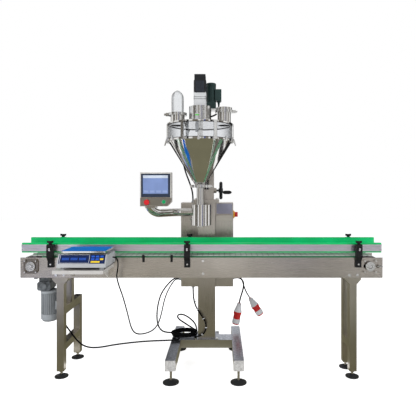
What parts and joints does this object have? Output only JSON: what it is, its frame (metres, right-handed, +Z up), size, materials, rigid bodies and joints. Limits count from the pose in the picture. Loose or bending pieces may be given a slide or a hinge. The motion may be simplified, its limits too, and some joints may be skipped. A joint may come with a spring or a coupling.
{
  "type": "auger powder filler",
  "caption": "Bench-height auger filler on a column, with conical hopper, slat conveyor, touch panel and bench scale.",
  "frame": {"origin": "bottom centre of the machine's bounding box, on the floor", "axes": "+X along the conveyor to the operator's right, +Y away from the operator, +Z up"},
  "size_m": [2.5, 0.901, 2.117],
  "materials": {
    "brushed_stainless": "brushed",
    "polished_stainless": "polished",
    "zinc_steel": "bright plated",
    "aluminium": "satin anodised",
    "silver_gearbox": "satin",
    "black_paint": "semi gloss",
    "dark_green_paint": "semi gloss",
    "grey_paint": "semi gloss",
    "green_plastic": "satin",
    "dark_green_plastic": "satin",
    "black_plastic": "matte",
    "grey_plastic": "matte",
    "scale_plastic": "matte",
    "navy_plastic": "gloss",
    "red_plastic": "gloss",
    "button_green": "gloss",
    "orange_plastic": "satin",
    "acrylic": "clear",
    "black_rubber": "matte"
  },
  "bodies": {
    "machine": {"base_frame": "brushed_stainless", "levelling_feet": "black_rubber", "main_column": "brushed_stainless", "frame_fasteners": "zinc_steel", "control_cabinet": "brushed_stainless", "cabinet_cover": "brushed_stainless", "cable_glands": "grey_plastic", "isolator_base": "orange_plastic", "lift_column": "brushed_stainless", "hmi_arm": "polished_stainless", "conveyor_plates": "brushed_stainless", "wear_strips": "dark_green_plastic", "slat_belt": "grey_plastic", "bearing_blocks": "zinc_steel", "rail_brackets": "black_plastic", "left_leg_frame": "brushed_stainless", "right_leg_frame": "brushed_stainless", "conveyor_gearmotor": "grey_paint", "photo_sensors": "black_plastic", "scale_shelf": "brushed_stainless", "scale_body": "scale_plastic", "scale_cable": "black_rubber", "motor_cable": "black_rubber", "cable_coil": "black_rubber", "panel_cable": "black_rubber", "mains_cord": "black_rubber", "mains_plug": "red_plastic", "feeder_cord": "black_rubber", "feeder_coupler": "red_plastic", "head_cable": "black_rubber"},
    "head": {"head_carriage": "brushed_stainless", "hopper_cone": "polished_stainless", "hopper_window": "acrylic", "hopper_lid": "polished_stainless", "hopper_tie_bars": "brushed_stainless", "motor_stand": "brushed_stainless", "drive_gearbox": "silver_gearbox", "servo_motor": "black_paint", "stirring_motor": "dark_green_paint", "head_clamps": "brushed_stainless", "vent_dome": "acrylic", "level_sensor": "grey_plastic", "dosing_tube": "polished_stainless", "splash_shield": "polished_stainless"},
    "inlet_cap": {"inlet_cap": "polished_stainless"},
    "auger": {"auger_screw": "polished_stainless"},
    "agitator": {"agitator": "polished_stainless"},
    "lift_screw": {"lift_screw": "zinc_steel"},
    "handwheel": {"handwheel": "black_paint"},
    "crank_grip": {"crank_grip": "black_plastic"},
    "panel": {"hmi_box": "brushed_stainless", "hmi_screen": "navy_plastic"},
    "stop_button": {"stop_button": "red_plastic"},
    "start_button": {"start_button": "button_green"},
    "isolator_knob": {"isolator_knob": "red_plastic"},
    "front_rail": {"front_rail": "green_plastic"},
    "rear_rail": {"rear_rail": "green_plastic"},
    "drive_shaft": {"drive_shaft": "zinc_steel"},
    "idler_shaft": {"idler_shaft": "zinc_steel"},
    "scale_platter": {"scale_platter": "polished_stainless"}
  },
  "joints": [
    {"name": "head_lift", "type": "slide", "parent": "machine", "child": "head", "axis": [0, 0, 1], "range_m": [-0.06, 0.055], "deforming": ["head_cable"]},
    {"name": "lift_screw_spin", "type": "hinge", "parent": "machine", "child": "lift_screw", "pos_m": [0.025, 0.1795, 1.3], "axis": [0, 0, 1], "range_deg": [-2200, 2020]},
    {"name": "handwheel_spin", "type": "hinge", "parent": "machine", "child": "handwheel", "pos_m": [0.134, 0.1795, 1.292], "axis": [1, 0, 0], "range_deg": [-2200, 2020]},
    {"name": "grip_spin", "type": "hinge", "parent": "handwheel", "child": "crank_grip", "pos_m": [0.18, 0.12528, 1.278], "axis": [1, 0, 0], "continuous": true},
    {"name": "auger_spin", "type": "hinge", "parent": "head", "child": "auger", "pos_m": [-0.014, -0.0705, 1.4], "axis": [0, 0, 1], "continuous": true},
    {"name": "agitator_spin", "type": "hinge", "parent": "head", "child": "agitator", "pos_m": [-0.014, -0.0705, 1.65], "axis": [0, 0, 1], "continuous": true},
    {"name": "inlet_cap_lift", "type": "slide", "parent": "head", "child": "inlet_cap", "axis": [0, 0, 1], "range_m": [0, 0.12]},
    {"name": "panel_swivel", "type": "hinge", "parent": "machine", "child": "panel", "pos_m": [-0.368, -0.0345, 1.18], "axis": [0, 0, 1], "range_deg": [-45, 45]},
    {"name": "stop_push", "type": "slide", "parent": "panel", "child": "stop_button", "axis": [0, 1, 0], "range_m": [0, 0.006], "stiffness_N_per_m": 800, "springref_m": -0.002},
    {"name": "start_push", "type": "slide", "parent": "panel", "child": "start_button", "axis": [0, 1, 0], "range_m": [0, 0.004], "stiffness_N_per_m": 800, "springref_m": -0.002},
    {"name": "isolator_turn", "type": "hinge", "parent": "machine", "child": "isolator_knob", "pos_m": [0.25, 0.3045, 1.1], "axis": [1, 0, 0], "range_deg": [0, 90]},
    {"name": "front_rail_adjust", "type": "slide", "parent": "machine", "child": "front_rail", "axis": [0, 1, 0], "range_m": [-0.012, 0.02]},
    {"name": "rear_rail_adjust", "type": "slide", "parent": "machine", "child": "rear_rail", "axis": [0, 1, 0], "range_m": [-0.02, 0.012]},
    {"name": "drive_spin", "type": "hinge", "parent": "machine", "child": "drive_shaft", "pos_m": [-1.174, -0.0705, 0.772], "axis": [0, 1, 0], "continuous": true},
    {"name": "idler_spin", "type": "hinge", "parent": "machine", "child": "idler_shaft", "pos_m": [1.16, -0.0705, 0.772], "axis": [0, 1, 0], "continuous": true},
    {"name": "platter_lift", "type": "slide", "parent": "machine", "child": "scale_platter", "axis": [0, 0, 1], "range_m": [0, 0.05]}
  ],
  "couplings": [
    {"joint": "lift_screw_spin", "follows": "head_lift", "rad_per_m": 628.32},
    {"joint": "handwheel_spin", "follows": "head_lift", "rad_per_m": 628.32},
    {"joint": "idler_spin", "follows": "drive_spin", "ratio": 1}
  ]
}
